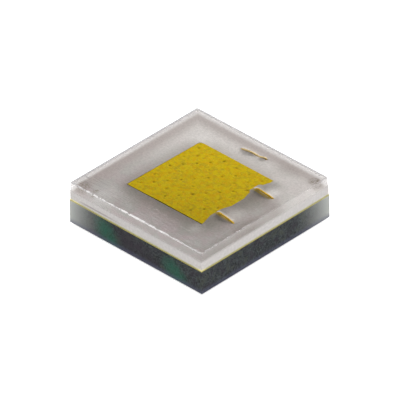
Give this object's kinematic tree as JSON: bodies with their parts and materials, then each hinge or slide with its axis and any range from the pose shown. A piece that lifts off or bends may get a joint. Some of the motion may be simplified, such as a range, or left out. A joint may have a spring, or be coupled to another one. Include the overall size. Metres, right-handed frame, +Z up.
{
  "type": "surface-mount led",
  "caption": "Flat square ceramic light-emitting diode: yellow phosphor chip in white silicone under a clear flat cover, gold bond wires inside, gold solder pads below.",
  "frame": {"origin": "centre of the underside, on the plane of the solder pads", "axes": "+Z up through the flat light-emitting top; +X towards the side of the chip that carries its two bond pads, over the anode pad; +Y towards the side of the package that holds the protection diode"},
  "size_m": [0.0034, 0.0034, 0.0009],
  "materials": {
    "pad_gold": "satin gold plating",
    "dark_ceramic": "matte, fine grain",
    "via_copper": "satin copper",
    "conductor_gold": "satin gold plating",
    "rim_gold": "sawn edge of gold plating",
    "solder": "satin gold-tin solder",
    "chip_silicon": "semi-matte",
    "diode_silicon": "semi-matte",
    "yellow_phosphor": "matte, fine grain",
    "wire_gold": "polished gold",
    "white_silicone": "matte white filled silicone",
    "clear_silicone": "clear, smooth flat top, sawn sides"
  },
  "bodies": {
    "root": {"anode_pad": "pad_gold", "cathode_pad": "pad_gold", "thermal_pad": "pad_gold", "ceramic_substrate": "dark_ceramic", "anode_via_1": "via_copper", "anode_via_2": "via_copper", "anode_via_3": "via_copper", "cathode_via_1": "via_copper", "cathode_via_2": "via_copper", "cathode_via_3": "via_copper", "chip_pad": "conductor_gold", "wire_pad": "conductor_gold", "rim_metal": "rim_gold", "die_attach": "solder", "diode_attach": "solder", "led_chip": "chip_silicon", "esd_diode": "diode_silicon", "chip_bond_pad_1": "conductor_gold", "chip_bond_pad_2": "conductor_gold", "diode_bond_pad": "conductor_gold", "phosphor_layer": "yellow_phosphor", "bond_wire_1": "wire_gold", "bond_wire_2": "wire_gold", "diode_wire": "wire_gold", "white_fill": "white_silicone", "clear_cover": "clear_silicone"}
  },
  "joints": []
}
